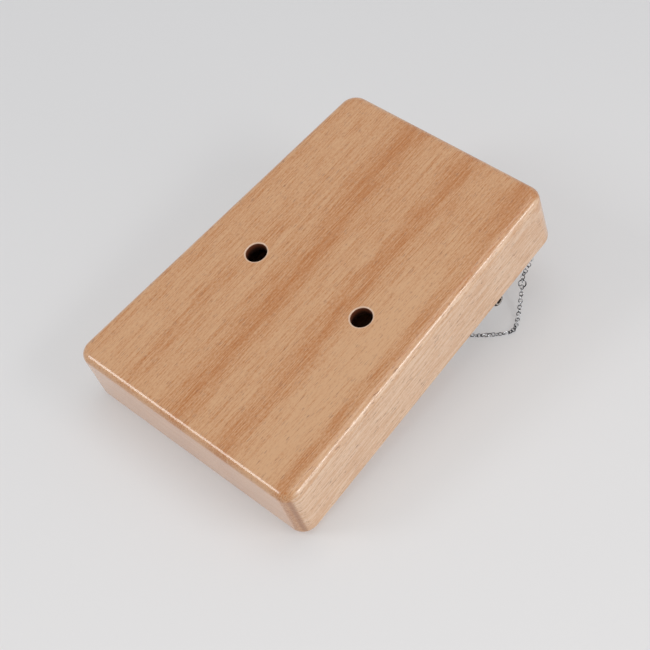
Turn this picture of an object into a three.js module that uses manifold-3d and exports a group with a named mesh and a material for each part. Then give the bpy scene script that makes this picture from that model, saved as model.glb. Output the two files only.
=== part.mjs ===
import * as THREE from 'three';
import { mergeVertices } from 'three/addons/utils/BufferGeometryUtils.js';
import Module from 'manifold-3d';

const wasm = await Module();
wasm.setup();

// A hollow kalimba with seventeen tines, lying on its tine side with its back up, in millimetres.
// Inside the instrument group x runs across, y from the near end, where the thumbs play, to the far
// end, and z from the front face into the box. What stands on the soundboard has a negative z.

// Body: one piece of wood, carved out from the front
const bodyLength = 185;
const nearWidth = 138;
const farWidth = 119;
const bodyDepth = 33;
const cornerRadius = 8;
const backEdgeRound = 4;
const frontEdgeRound = 3.6;
const backThickness = 5;
const sideWall = 10;
const cavityCornerRadius = 7;
const rimWidth = 4.5;
const rebateCornerRadius = 4;

// The two holes in the back
const backHoleDiameter = 10.3;
const backHoleSpacing = 66;
const backHoleFromNearEnd = 87.5;
const backHoleChamfer = 0.5;

// Soundboard and what is glued under it
const boardThickness = 3;
const boardClearance = 0.15;
const soundHoleDiameter = 34;
const soundHoleFromNearEnd = 52;
const braceWidth = 8;
const braceHeight = 9;
const braceEndHeight = 3.6;
const braceEndTaper = 14;
const braceEndClearance = 1.5;
const nearBraceFromNearEnd = 24;
const middleBraceFromNearEnd = 75;
const blockLength = 26;
const blockHeight = 11;

// Bridge: base, saddle rod, stop rod and pressure bar, all across the board
const saddleFromFarEnd = 47;
const barBehindSaddle = 8.5;
const stopBehindSaddle = 17;
const bridgeSideMargin = 2.3;
const bridgeLip = 5;
const bridgeLipHeight = 1.6;
const bridgeFloor = 3.2;
const ridgeHalfWidth = 3.2;
const ridgeBelowRodCentre = 0.4;
const valleyFoot = 1.5;
const rodShortOfBridge = 0.5;
const saddleRodDiameter = 4;
const saddleCrown = 7.8;
const stopRodDiameter = 3.5;
const stopCrown = 7;
const rodSeatClearance = 0.15;
const barDiameter = 6;
const barDip = 1.4;
const spotFaceDepth = 0.9;
const spotFaceClearance = 0.3;
const rodEndChamfer = 0.5;

// Studs, washers, dome nuts and inserts that pull the bar down. Each stud stands in the gap after
// so many tines, counted outwards from the middle one.
const innerStudTineCount = 2;
const outerStudTineCount = 6;
const studDiameter = 2.9;
const studHoleClearance = 0.25;
const studEndInNut = 4.5;
const studFootInBlock = 9;
const washerDiameter = 6.8;
const washerThickness = 0.8;
const nutAcrossFlats = 6;
const nutHexHeight = 3;
const nutDomeDiameter = 5.4;
const nutHeight = 8;
const nutBoreBeyondStud = 1.5;
const insertDiameter = 5.6;
const insertLength = 8;
const insertClearance = 0.15;

// Tines: a C major scale, the longest in the middle
const tineCount = 17;
const tinePitch = 6.4;
const tineWidth = 2.9;
const tineTipWidth = 5;
const tineTipTaper = 7;
const tineThickness = 1.1;
const tineEdge = 0.2;
const tineGap = 0.3;
const longestTine = 62;
const tineRisePerLength = 0.014;
const tineTipBend = 0.5;
const tineTipBendLength = 9;
const tineTailBehindStop = 8;

// Screw eyes and the chain between them
const eyeFromFarEnd = 14;
const eyeStandOff = 5.4;
const eyeRingRadius = 2.6;
const eyeWireDiameter = 1.6;
const eyeShankDiameter = 2.2;
const eyeShankDepth = 12;
const eyePointLength = 2.5;
const eyeHoleClearance = 0.15;
const chainDiameter = 2.2;
const chainRingWire = 0.6;
const chainRingClearance = 0.3;

// Derived places. Heights are measured from the soundboard away from the box.
const saddleFromNearEnd = bodyLength - saddleFromFarEnd;
const eyeFromNearEnd = bodyLength - eyeFromFarEnd;
const barFromNearEnd = saddleFromNearEnd + barBehindSaddle;
const stopFromNearEnd = saddleFromNearEnd + stopBehindSaddle;
const tineUnderSaddle = saddleCrown + tineGap;
const tineUnderBar = tineUnderSaddle - barDip;
const tineUnderStop = stopCrown + tineGap;
const barUnderside = tineUnderBar + tineThickness + tineGap;
const spotFaceHeight = barUnderside + barDiameter - spotFaceDepth;
const washerTop = spotFaceHeight + washerThickness;
const hardwareHeight = washerTop + nutHeight;
const cavityDepth = bodyDepth - backThickness - boardThickness;
const bridgeWidth = (tineCount - 1) * tinePitch + tineWidth + 2 * bridgeSideMargin;
const rodLength = bridgeWidth - 2 * rodShortOfBridge;
const innerStudX = innerStudTineCount * tinePitch + tinePitch / 2;
const outerStudX = outerStudTineCount * tinePitch + tinePitch / 2;
const studPlaces = [-outerStudX, -innerStudX, innerStudX, outerStudX];
const studHoleDiameter = studDiameter + 2 * studHoleClearance;
const eyeHoleDiameter = eyeShankDiameter + 2 * eyeHoleClearance;

// How far a cutting shape reaches past the face that it cuts
const cutBeyond = 1;

// Facets round each kind of round shape
const soundHoleSides = 40;
const backHoleSides = 28;
const boreSides = 12;
const rodSides = 24;
const washerSides = 20;
const domeSides = 18;
const insertSides = 16;
const ringSides = 18;
const wireSides = 8;

function halfWidthAt(fromNearEnd) {
  return (nearWidth + (farWidth - nearWidth) * fromNearEnd / bodyLength) / 2;
}

// Materials
function material(color, roughness, metalness) {
  return new THREE.MeshStandardMaterial({ color, roughness, metalness });
}
const bodyWood = material(0xc99a6c, 0.3, 0);
const boardWood = material(0xcf9f70, 0.35, 0);
const braceWood = material(0xdcc093, 0.7, 0);
const bridgeWood = material(0x6a4028, 0.45, 0);
const brightSteel = material(0xc9cbcf, 0.2, 1);
const springSteel = material(0xb4b7bc, 0.32, 1);
const brass = material(0xc2a050, 0.35, 1);
const chainSteel = material(0xa9acb2, 0.28, 1);

// From a three.js geometry to a solid and back
function solidOf(geometry) {
  const bare = geometry.clone();
  bare.deleteAttribute('normal');
  bare.deleteAttribute('uv');
  const merged = mergeVertices(bare, 1e-5);
  return new wasm.Manifold(new wasm.Mesh({
    numProp: 3,
    vertProperties: new Float32Array(merged.attributes.position.array),
    triVerts: new Uint32Array(merged.index.array),
  }));
}

function geometryOf(solid) {
  const mesh = solid.getMesh();
  const geometry = new THREE.BufferGeometry();
  geometry.setAttribute('position', new THREE.BufferAttribute(mesh.vertProperties, 3));
  geometry.setIndex(new THREE.BufferAttribute(mesh.triVerts, 1));
  geometry.computeVertexNormals();
  return geometry;
}

function cutFrom(geometry, cutters) {
  let solid = solidOf(geometry);
  for (const cutter of cutters) {
    solid = solid.subtract(solidOf(cutter));
  }
  return geometryOf(solid);
}

function joined(...geometries) {
  let solid = solidOf(geometries[0]);
  for (const more of geometries.slice(1)) {
    solid = solid.add(solidOf(more));
  }
  return geometryOf(solid);
}

// The body's plan, a trapezoid with round corners, drawn inset from the outside
function planOutline(inset, radius, cornerSteps = 6) {
  const slope = (nearWidth - farWidth) / 2 / bodyLength;
  const alongSide = Math.hypot(1, slope);
  const edgeX = (y) => halfWidthAt(y) - inset * alongSide;
  const yNear = inset;
  const yFar = bodyLength - inset;
  const corners = [
    new THREE.Vector2(-edgeX(yNear), yNear),
    new THREE.Vector2(edgeX(yNear), yNear),
    new THREE.Vector2(edgeX(yFar), yFar),
    new THREE.Vector2(-edgeX(yFar), yFar),
  ];
  const points = [];
  corners.forEach((corner, i) => {
    const before = corners[(i + 3) % 4].clone().sub(corner).normalize();
    const after = corners[(i + 1) % 4].clone().sub(corner).normalize();
    const halfAngle = Math.acos(before.dot(after)) / 2;
    const middle = before.clone().add(after).normalize();
    const centre = corner.clone().addScaledVector(middle, radius / Math.sin(halfAngle));
    const start = Math.atan2(-before.x, before.y);
    const turn = Math.PI - 2 * halfAngle;
    for (let step = 0; step <= cornerSteps; step += 1) {
      const angle = start + Math.PI + turn * step / cornerSteps;
      points.push(new THREE.Vector2(
        centre.x + radius * Math.cos(angle),
        centre.y + radius * Math.sin(angle),
      ));
    }
  });
  return points;
}

// A closed solid through rings that all have as many points, with flat ends
function loft(rings) {
  const count = rings[0].length;
  const positions = [];
  const index = [];
  for (const ring of rings) {
    for (const point of ring) {
      positions.push(point.x, point.y, point.z);
    }
  }
  for (let r = 0; r < rings.length - 1; r += 1) {
    for (let i = 0; i < count; i += 1) {
      const a = r * count + i;
      const b = r * count + (i + 1) % count;
      index.push(a, b, b + count, a, b + count, a + count);
    }
  }
  const last = (rings.length - 1) * count;
  for (let i = 1; i < count - 1; i += 1) {
    index.push(0, i + 1, i);
    index.push(last, last + i, last + i + 1);
  }
  const geometry = new THREE.BufferGeometry();
  geometry.setAttribute('position', new THREE.Float32BufferAttribute(positions, 3));
  geometry.setIndex(index);
  geometry.computeVertexNormals();
  return geometry;
}

function plate(outline, thickness, z) {
  const geometry = new THREE.ExtrudeGeometry(new THREE.Shape(outline), {
    depth: thickness,
    bevelEnabled: false,
  });
  return geometry.translate(0, 0, z);
}

// Round solids. A profile is a list of [radius, place along the axis].
function turned(profile, segments) {
  return new THREE.LatheGeometry(profile.map(([r, at]) => new THREE.Vector2(r, at)), segments);
}

function turnedAlongZ(profile, segments, x, y) {
  return turned(profile, segments).rotateX(Math.PI / 2).translate(x, y, 0);
}

function drill(diameter, x, y, zFrom, zTo, segments = boreSides) {
  const profile = [[0, zFrom], [diameter / 2, zFrom], [diameter / 2, zTo], [0, zTo]];
  return turnedAlongZ(profile, segments, x, y);
}

function rod(diameter, length) {
  const r = diameter / 2;
  const end = length / 2;
  return turned([
    [0, -end],
    [r - rodEndChamfer, -end],
    [r, -end + rodEndChamfer],
    [r, end - rodEndChamfer],
    [r - rodEndChamfer, end],
    [0, end],
  ], rodSides).rotateZ(-Math.PI / 2);
}

// Scene graph
const kalimba = new THREE.Group();
const instrument = new THREE.Group();
instrument.position.set(0, -bodyLength / 2, hardwareHeight);
kalimba.add(instrument);

function addPiece(name, geometry, look, x = 0, y = 0, z = 0) {
  const piece = new THREE.Mesh(geometry, look);
  piece.name = name;
  piece.position.set(x, y, z);
  instrument.add(piece);
}

// Screw eye places, over the ledge that the soundboard lies on
const eyeX = halfWidthAt(eyeFromNearEnd) - (rimWidth + sideWall) / 2;
const eyePlaces = [['screw_eye_right', eyeX], ['screw_eye_left', -eyeX]];

// Body shell: rounded block, hollowed from the front, with two holes in the back
function bodyShell() {
  const roundSteps = 4;
  const levels = [];
  for (let step = 0; step <= roundSteps; step += 1) {
    const angle = Math.PI / 2 * step / roundSteps;
    levels.push({
      z: frontEdgeRound * (1 - Math.sin(angle)),
      inset: frontEdgeRound * (1 - Math.cos(angle)),
    });
  }
  levels.reverse();
  for (let step = 0; step <= roundSteps; step += 1) {
    const angle = Math.PI / 2 * step / roundSteps;
    levels.push({
      z: bodyDepth - backEdgeRound * (1 - Math.sin(angle)),
      inset: backEdgeRound * (1 - Math.cos(angle)),
    });
  }
  const rings = levels.map(({ z, inset }) => planOutline(inset, cornerRadius - inset)
    .map((point) => new THREE.Vector3(point.x, point.y, z)));
  const cutters = [
    plate(planOutline(rimWidth, rebateCornerRadius), boardThickness + cutBeyond, -cutBeyond),
    plate(planOutline(sideWall, cavityCornerRadius), cavityDepth + cutBeyond,
      boardThickness - cutBeyond),
  ];
  for (const side of [-1, 1]) {
    const x = side * backHoleSpacing / 2;
    const inner = bodyDepth - backThickness;
    const r = backHoleDiameter / 2;
    cutters.push(turnedAlongZ([
      [0, inner - cutBeyond],
      [r, inner - cutBeyond],
      [r, bodyDepth - backHoleChamfer],
      [r + backHoleChamfer + cutBeyond, bodyDepth + cutBeyond],
      [0, bodyDepth + cutBeyond],
    ], backHoleSides, x, backHoleFromNearEnd));
  }
  for (const [, x] of eyePlaces) {
    cutters.push(drill(eyeHoleDiameter, x, eyeFromNearEnd,
      boardThickness - cutBeyond, eyeShankDepth + eyeHoleClearance));
  }
  return cutFrom(loft(rings), cutters);
}

// Soundboard, let into the rebate, flush with the rim
function soundboard() {
  const radius = rebateCornerRadius - boardClearance;
  const board = plate(planOutline(rimWidth + boardClearance, radius), boardThickness, 0);
  const through = [-cutBeyond, boardThickness + cutBeyond];
  const cutters = [
    drill(soundHoleDiameter, 0, soundHoleFromNearEnd, ...through, soundHoleSides),
  ];
  for (const x of studPlaces) {
    cutters.push(drill(studHoleDiameter, x, barFromNearEnd, ...through));
  }
  for (const [, x] of eyePlaces) {
    cutters.push(drill(eyeHoleDiameter, x, eyeFromNearEnd, ...through));
  }
  return cutFrom(board, cutters);
}

// A brace is a bar across the box with its lower edges tapered at both ends
function brace(fromNearEnd) {
  const half = halfWidthAt(fromNearEnd + braceWidth / 2) - sideWall - braceEndClearance;
  const side = new THREE.Shape([
    new THREE.Vector2(-half, 0),
    new THREE.Vector2(half, 0),
    new THREE.Vector2(half, braceEndHeight),
    new THREE.Vector2(half - braceEndTaper, braceHeight),
    new THREE.Vector2(-half + braceEndTaper, braceHeight),
    new THREE.Vector2(-half, braceEndHeight),
  ]);
  const bar = new THREE.ExtrudeGeometry(side, { depth: braceWidth, bevelEnabled: false });
  return bar.rotateX(Math.PI / 2).translate(0, fromNearEnd + braceWidth / 2, boardThickness);
}

function bridgeBlock() {
  const half = halfWidthAt(barFromNearEnd + blockLength / 2) - sideWall - braceEndClearance;
  const block = new THREE.BoxGeometry(2 * half, blockLength, blockHeight)
    .translate(0, barFromNearEnd, boardThickness + blockHeight / 2);
  const top = boardThickness;
  const foot = top + blockHeight;
  const cutters = [];
  for (const x of studPlaces) {
    const seat = foot - insertLength;
    const wide = insertDiameter / 2 + insertClearance;
    cutters.push(turnedAlongZ([
      [0, top - cutBeyond],
      [studHoleDiameter / 2, top - cutBeyond],
      [studHoleDiameter / 2, seat],
      [wide, seat],
      [wide, foot + cutBeyond],
      [0, foot + cutBeyond],
    ], insertSides, x, barFromNearEnd));
  }
  return cutFrom(block, cutters);
}

// Bridge base: one hardwood piece. Its section is drawn as y and height, then run across the board.
function acrossBoard(section, length) {
  const geometry = new THREE.ExtrudeGeometry(section, { depth: length, bevelEnabled: false });
  const turn = new THREE.Matrix4().makeBasis(
    new THREE.Vector3(0, 1, 0),
    new THREE.Vector3(0, 0, -1),
    new THREE.Vector3(-1, 0, 0),
  );
  return geometry.applyMatrix4(turn).translate(length / 2, 0, 0);
}

function bridgeBase() {
  const seats = [
    { y: saddleFromNearEnd, r: saddleRodDiameter / 2, crown: saddleCrown },
    { y: stopFromNearEnd, r: stopRodDiameter / 2, crown: stopCrown },
  ];
  const near = saddleFromNearEnd - ridgeHalfWidth;
  const far = stopFromNearEnd + ridgeHalfWidth;
  const section = new THREE.Shape();
  section.moveTo(near - bridgeLip, 0);
  section.lineTo(far + bridgeLip, 0);
  section.lineTo(far + bridgeLip, bridgeLipHeight);
  const grooveSteps = 8;
  for (const { y, r, crown } of seats.toReversed()) {
    const centre = crown - r;
    const seat = r + rodSeatClearance;
    section.lineTo(y + ridgeHalfWidth, centre - ridgeBelowRodCentre);
    section.lineTo(y + seat, centre);
    for (let step = 1; step <= grooveSteps; step += 1) {
      const angle = -Math.PI * step / grooveSteps;
      section.lineTo(y + seat * Math.cos(angle), centre + seat * Math.sin(angle));
    }
    section.lineTo(y - ridgeHalfWidth, centre - ridgeBelowRodCentre);
    if (y === stopFromNearEnd) {
      section.lineTo(y - ridgeHalfWidth - valleyFoot, bridgeFloor);
      section.lineTo(saddleFromNearEnd + ridgeHalfWidth + valleyFoot, bridgeFloor);
    }
  }
  section.lineTo(near - bridgeLip, bridgeLipHeight);
  const cutters = studPlaces.map((x) => drill(studHoleDiameter, x, barFromNearEnd,
    -hardwareHeight, cutBeyond));
  return cutFrom(acrossBoard(section, bridgeWidth), cutters);
}

function pressureBar() {
  const bar = rod(barDiameter, rodLength)
    .translate(0, barFromNearEnd, -(barUnderside + barDiameter / 2));
  const cutters = [];
  for (const x of studPlaces) {
    cutters.push(drill(studHoleDiameter, x, barFromNearEnd, -hardwareHeight, 0));
    cutters.push(drill(washerDiameter + 2 * spotFaceClearance, x, barFromNearEnd,
      -hardwareHeight, -spotFaceHeight, washerSides));
  }
  return cutFrom(bar, cutters);
}

// Hardware on each stud
function washer() {
  const inner = studHoleDiameter / 2;
  const outer = washerDiameter / 2;
  return turned([
    [inner, 0], [outer, 0], [outer, washerThickness], [inner, washerThickness], [inner, 0],
  ], washerSides).rotateX(Math.PI / 2).translate(0, 0, -washerTop);
}

function domeNut() {
  const hexRadius = nutAcrossFlats / 2 / Math.cos(Math.PI / 6);
  const domeRadius = nutDomeDiameter / 2;
  const collar = nutHexHeight / 2;
  const hexagon = [];
  for (let i = 0; i < 6; i += 1) {
    const angle = Math.PI / 3 * i;
    hexagon.push(new THREE.Vector2(hexRadius * Math.cos(angle), hexRadius * Math.sin(angle)));
  }
  const hex = plate(hexagon, nutHexHeight, -washerTop - nutHexHeight);
  const domeHeight = nutHeight - domeRadius;
  const profile = [[0, collar], [domeRadius, collar], [domeRadius, domeHeight]];
  const domeSteps = 4;
  for (let step = 1; step < domeSteps; step += 1) {
    const angle = Math.PI / 2 * step / domeSteps;
    profile.push([domeRadius * Math.cos(angle), domeHeight + domeRadius * Math.sin(angle)]);
  }
  profile.push([0, nutHeight]);
  const dome = turned(profile, domeSides).rotateX(-Math.PI / 2).translate(0, 0, -washerTop);
  const bore = drill(studHoleDiameter, 0, 0, -washerTop - studEndInNut - nutBoreBeyondStud,
    -washerTop + cutBeyond);
  return cutFrom(joined(hex, dome), [bore]);
}

function stud() {
  const top = -washerTop - studEndInNut;
  const foot = boardThickness + studFootInBlock;
  const r = studDiameter / 2;
  return turned([
    [0, top],
    [r - rodEndChamfer, top],
    [r, top + rodEndChamfer],
    [r, foot - rodEndChamfer],
    [r - rodEndChamfer, foot],
    [0, foot],
  ], boreSides).rotateX(Math.PI / 2);
}

function insert() {
  const inner = studHoleDiameter / 2;
  const outer = insertDiameter / 2;
  const foot = boardThickness + blockHeight;
  const top = foot - insertLength;
  return turned([
    [inner, top], [outer, top], [outer, foot], [inner, foot], [inner, top],
  ], insertSides).rotateX(Math.PI / 2);
}

// Tines. A note's distance from middle C in semitones gives its length, because a bar's pitch
// rises with the square of its shortening.
const notes = ['c4', 'd4', 'e4', 'f4', 'g4', 'a4', 'b4', 'c5', 'd5', 'e5', 'f5', 'g5', 'a5', 'b5',
  'c6', 'd6', 'e6'];
const majorScale = [0, 2, 4, 5, 7, 9, 11];

function tineLength(noteIndex) {
  const octave = Math.floor(noteIndex / majorScale.length);
  const semitones = 12 * octave + majorScale[noteIndex % majorScale.length];
  return longestTine * 2 ** (-semitones / 24);
}

// Seen from the front, notes go outwards from the middle, left first. The front faces down here, so
// the player's left is +x.
function tineX(noteIndex) {
  const steps = Math.ceil(noteIndex / 2);
  return (noteIndex % 2 === 1 ? 1 : -1) * steps * tinePitch;
}

function smoothStep(t) {
  return t * t * (3 - 2 * t);
}

// Height of a tine's underside at a distance y from the near end
function tineUnderside(y, length) {
  if (y >= stopFromNearEnd) {
    return tineUnderStop;
  }
  if (y >= barFromNearEnd) {
    const t = (y - barFromNearEnd) / (stopFromNearEnd - barFromNearEnd);
    return tineUnderBar + (tineUnderStop - tineUnderBar) * smoothStep(t);
  }
  if (y >= saddleFromNearEnd) {
    const t = (y - saddleFromNearEnd) / barBehindSaddle;
    return tineUnderSaddle - barDip * smoothStep(t);
  }
  const out = saddleFromNearEnd - y;
  const bendStart = length - tineTipBendLength;
  const bend = out > bendStart ? tineTipBend * ((out - bendStart) / tineTipBendLength) ** 2 : 0;
  return tineUnderSaddle + tineRisePerLength * out + bend;
}

function tineHalfWidth(y, length) {
  const fromTip = y - (saddleFromNearEnd - length);
  const tipRadius = tineTipWidth / 2;
  if (fromTip < tipRadius) {
    return Math.sqrt(tipRadius ** 2 - (tipRadius - fromTip) ** 2);
  }
  const t = Math.min((fromTip - tipRadius) / tineTipTaper, 1);
  return tipRadius + (tineWidth / 2 - tipRadius) * smoothStep(t);
}

function tine(noteIndex) {
  const length = tineLength(noteIndex);
  const tip = saddleFromNearEnd - length;
  const tail = stopFromNearEnd + tineTailBehindStop;
  const tipRadius = tineTipWidth / 2;
  const places = [0.02, 0.15, 0.5, 1].map((share) => tip + share * tipRadius);
  for (const share of [0.3, 0.7, 1]) {
    places.push(tip + tipRadius + share * tineTipTaper);
  }
  places.push(saddleFromNearEnd);
  for (const share of [0.25, 0.5, 0.75, 1]) {
    places.push(saddleFromNearEnd + share * barBehindSaddle);
  }
  for (const share of [0.3, 0.7, 1]) {
    places.push(barFromNearEnd + share * (stopFromNearEnd - barFromNearEnd));
  }
  places.push(tail);
  const rings = places.map((y) => {
    const half = tineHalfWidth(y, length);
    const under = tineUnderside(y, length);
    const top = under + tineThickness;
    const corner = Math.min(tineEdge, half / 2);
    const section = [
      [-half, under + tineEdge], [-half + corner, under],
      [half - corner, under], [half, under + tineEdge],
      [half, top - tineEdge], [half - corner, top],
      [-half + corner, top], [-half, top - tineEdge],
    ];
    return section.map(([x, height]) => new THREE.Vector3(x, y, -height));
  });
  return loft(rings);
}

// Screw eye: a wire ring on a shank that goes through the soundboard into the ledge
function screwEye() {
  const wire = eyeWireDiameter / 2;
  const ring = new THREE.TorusGeometry(eyeRingRadius, wire, wireSides, ringSides)
    .rotateX(Math.PI / 2).translate(0, 0, -eyeStandOff);
  const r = eyeShankDiameter / 2;
  const neck = -eyeStandOff + eyeRingRadius - wire / 2;
  const shank = turned([
    [0, neck],
    [r, neck],
    [r, eyeShankDepth - eyePointLength],
    [0, eyeShankDepth],
  ], boreSides).rotateX(Math.PI / 2);
  return joined(ring, shank);
}

// The chain's route from the right screw eye to the left one: out past the side of the box, down to
// the surface that the kalimba lies on, and back under the tines. Each point is x, the distance
// from the far end, and z.
const chainRoute = [
  [53.8, 14.4, -10.2],
  [53.7, 17.7, -11.9],
  [53.6, 20.1, -13.6],
  [54.8, 22.8, -15.8],
  [56.7, 26.5, -18.0],
  [59.4, 31.4, -19.9],
  [62.2, 36.8, -20.9],
  [64.5, 41.0, -20.5],
  [65.0, 44.6, -19.9],
  [62.5, 48.2, -19.4],
  [58.2, 52.1, -18.8],
  [53.0, 56.4, -18.2],
  [45.0, 60.0, -17.6],
  [34.0, 62.4, -17.2],
  [20.0, 63.4, -17.1],
  [6.0, 62.6, -17.2],
  [-8.0, 61.0, -17.4],
  [-22.0, 58.6, -17.8],
  [-35.0, 54.6, -18.4],
  [-46.5, 48.4, -19.3],
  [-53.2, 40.4, -20.4],
  [-55.6, 32.6, -20.2],
  [-55.8, 25.6, -18.2],
  [-54.8, 19.4, -14.4],
  [-53.8, 14.4, -10.2],
].map(([x, fromFarEnd, z]) => new THREE.Vector3(x, bodyLength - fromFarEnd, z));

function buzzChain() {
  const round = [];
  for (let i = 0; i < wireSides; i += 1) {
    const angle = 2 * Math.PI * i / wireSides;
    round.push(new THREE.Vector2(Math.cos(angle), Math.sin(angle)).multiplyScalar(chainDiameter / 2));
  }
  return new THREE.ExtrudeGeometry(new THREE.Shape(round), {
    steps: 48,
    bevelEnabled: false,
    extrudePath: new THREE.CatmullRomCurve3(chainRoute, false, 'centripetal'),
  });
}

// The ring in the chain, at the fourth point of its route
function chainRing() {
  const radius = chainDiameter / 2 + chainRingClearance + chainRingWire / 2;
  const ring = new THREE.TorusGeometry(radius, chainRingWire / 2, wireSides, ringSides);
  const at = chainRoute[3];
  const along = chainRoute[4].clone().sub(chainRoute[2]).normalize();
  const turn = new THREE.Quaternion().setFromUnitVectors(new THREE.Vector3(0, 0, 1), along);
  return ring.applyQuaternion(turn).translate(at.x, at.y, at.z);
}

// Assembly
addPiece('body_shell', bodyShell(), bodyWood);
addPiece('soundboard', soundboard(), boardWood);
addPiece('near_brace', brace(nearBraceFromNearEnd), braceWood);
addPiece('middle_brace', brace(middleBraceFromNearEnd), braceWood);
addPiece('bridge_block', bridgeBlock(), braceWood);
addPiece('bridge_base', bridgeBase(), bridgeWood);
addPiece('saddle_rod', rod(saddleRodDiameter, rodLength), brightSteel,
  0, saddleFromNearEnd, -(saddleCrown - saddleRodDiameter / 2));
addPiece('stop_rod', rod(stopRodDiameter, rodLength), brightSteel,
  0, stopFromNearEnd, -(stopCrown - stopRodDiameter / 2));
addPiece('pressure_bar', pressureBar(), brightSteel);

studPlaces.forEach((x, i) => {
  const number = i + 1;
  addPiece(`bar_stud_${number}`, stud(), brightSteel, x, barFromNearEnd);
  addPiece(`bar_washer_${number}`, washer(), brightSteel, x, barFromNearEnd);
  addPiece(`dome_nut_${number}`, domeNut(), brightSteel, x, barFromNearEnd);
  addPiece(`block_insert_${number}`, insert(), brass, x, barFromNearEnd);
});

notes.slice(0, tineCount).forEach((note, noteIndex) => {
  addPiece(`tine_${note}`, tine(noteIndex), springSteel, tineX(noteIndex));
});

for (const [name, x] of eyePlaces) {
  addPiece(name, screwEye(), brightSteel, x, eyeFromNearEnd);
}
addPiece('buzz_chain', buzzChain(), chainSteel);
addPiece('chain_ring', chainRing(), chainSteel);

export default kalimba;
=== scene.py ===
import math

import bmesh
import bpy
from mathutils import Matrix, Vector


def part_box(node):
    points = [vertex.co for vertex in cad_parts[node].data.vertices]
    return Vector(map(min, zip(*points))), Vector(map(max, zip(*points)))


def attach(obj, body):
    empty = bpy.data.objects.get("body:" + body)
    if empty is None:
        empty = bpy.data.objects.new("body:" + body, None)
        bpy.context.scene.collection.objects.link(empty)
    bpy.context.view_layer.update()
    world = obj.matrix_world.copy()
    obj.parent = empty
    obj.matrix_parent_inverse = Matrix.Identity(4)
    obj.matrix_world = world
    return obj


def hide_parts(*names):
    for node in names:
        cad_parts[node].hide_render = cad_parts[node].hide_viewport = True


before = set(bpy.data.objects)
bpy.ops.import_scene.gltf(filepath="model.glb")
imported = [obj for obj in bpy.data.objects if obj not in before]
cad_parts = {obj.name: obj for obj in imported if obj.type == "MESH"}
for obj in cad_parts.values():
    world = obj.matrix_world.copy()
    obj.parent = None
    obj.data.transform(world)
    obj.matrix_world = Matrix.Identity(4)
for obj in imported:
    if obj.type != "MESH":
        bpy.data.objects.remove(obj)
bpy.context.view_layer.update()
bpy.ops.object.select_all(action="DESELECT")

# Camera
# It stands above the kalimba's near right corner and looks down at the middle of the back. The
# instrument rests on its near edge and on the dome nuts, so the camera leans with it.
MM = 0.001
camera_place = Vector((411.6, -226.1, 646.2)) * MM
looks_at = Vector((21.8, -17.0, 55.0)) * MM
picture_up = Vector((-0.4532, 0.7034, 0.5476))
lens_length = 93.1
sensor = 36

bpy.ops.object.camera_add(location=camera_place)
camera = bpy.context.object
camera.name = "camera"
camera.data.lens = lens_length
camera.data.sensor_width = sensor
ahead = (looks_at - camera_place).normalized()
to_right = ahead.cross(picture_up).normalized()
turn = Matrix((to_right, to_right.cross(ahead), -ahead)).transposed()
camera.matrix_world = Matrix.Translation(camera_place) @ turn.to_4x4()
camera.data.clip_start = 0.05
camera.data.clip_end = 20
bpy.context.scene.camera = camera
bpy.context.scene.view_settings.view_transform = "Standard"

# Buzz chain
# A fine chain of bent steel wire links. A split ring on each screw eye holds an end, and a larger
# ring sits in the chain. It lies on the table in a loop that comes out past the far right side.
nuts_to_board = 0.022
body_length = 0.185
chain_width = 0.0022
link_wire = 0.00044
link_length = 0.0025
link_pitch = link_length - 2 * link_wire
ring_wire = 0.0006
ring_width = 0.004
ring_point = 3
split_ring_wire = 0.0005
split_ring_width = 0.0034
split_ring_drop = 0.0004
eye_wire_radius = 0.0008
link_lean = 0.18
link_lean_step = 2.4

# Each point is x, the distance from the far end, and the height from the front face, in mm
chain_route = [
    (53.8, 14.4, -10.2),
    (53.7, 17.7, -11.9),
    (53.6, 20.1, -13.6),
    (54.8, 22.8, -15.8),
    (56.7, 26.5, -18.0),
    (59.4, 31.4, -19.9),
    (62.2, 36.8, -20.9),
    (64.5, 41.0, -20.5),
    (65.0, 44.6, -19.9),
    (62.5, 48.2, -19.4),
    (58.2, 52.1, -18.8),
    (53.0, 56.4, -18.2),
    (45.0, 60.0, -17.6),
    (34.0, 62.4, -17.2),
    (20.0, 63.4, -17.1),
    (6.0, 62.6, -17.2),
    (-8.0, 61.0, -17.4),
    (-22.0, 58.6, -17.8),
    (-35.0, 54.6, -18.4),
    (-46.5, 48.4, -19.3),
    (-53.2, 40.4, -20.4),
    (-55.6, 32.6, -20.2),
    (-55.8, 25.6, -18.2),
    (-54.8, 19.4, -14.4),
    (-53.8, 14.4, -10.2),
]
route = [
    Vector((x * MM, body_length / 2 - from_far_end * MM, nuts_to_board + z * MM))
    for x, from_far_end, z in chain_route
]


def smooth_line(points, steps=12):
    """A centripetal Catmull-Rom curve through the points, as a list of points along it."""
    before = points[0] * 2 - points[1]
    after = points[-1] * 2 - points[-2]
    ends = [before, *points, after]
    line = [points[0]]
    for a, b, c, d in zip(ends, ends[1:], ends[2:], ends[3:]):
        ta = 0
        tb = ta + (b - a).length ** 0.5
        tc = tb + (c - b).length ** 0.5
        td = tc + (d - c).length ** 0.5
        for step in range(1, steps + 1):
            t = tb + (tc - tb) * step / steps
            ab = a.lerp(b, (t - ta) / (tb - ta))
            bc = b.lerp(c, (t - tb) / (tc - tb))
            cd = c.lerp(d, (t - tc) / (td - tc))
            line.append(ab.lerp(bc, (t - ta) / (tc - ta)).lerp(bc.lerp(cd, (t - tb) / (td - tb)),
                                                               (t - tb) / (tc - tb)))
    return line


steps_each = 12
line = smooth_line(route, steps_each)
along = [0.0]
for a, b in zip(line, line[1:]):
    along.append(along[-1] + (b - a).length)
chain_length = along[-1]


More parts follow.
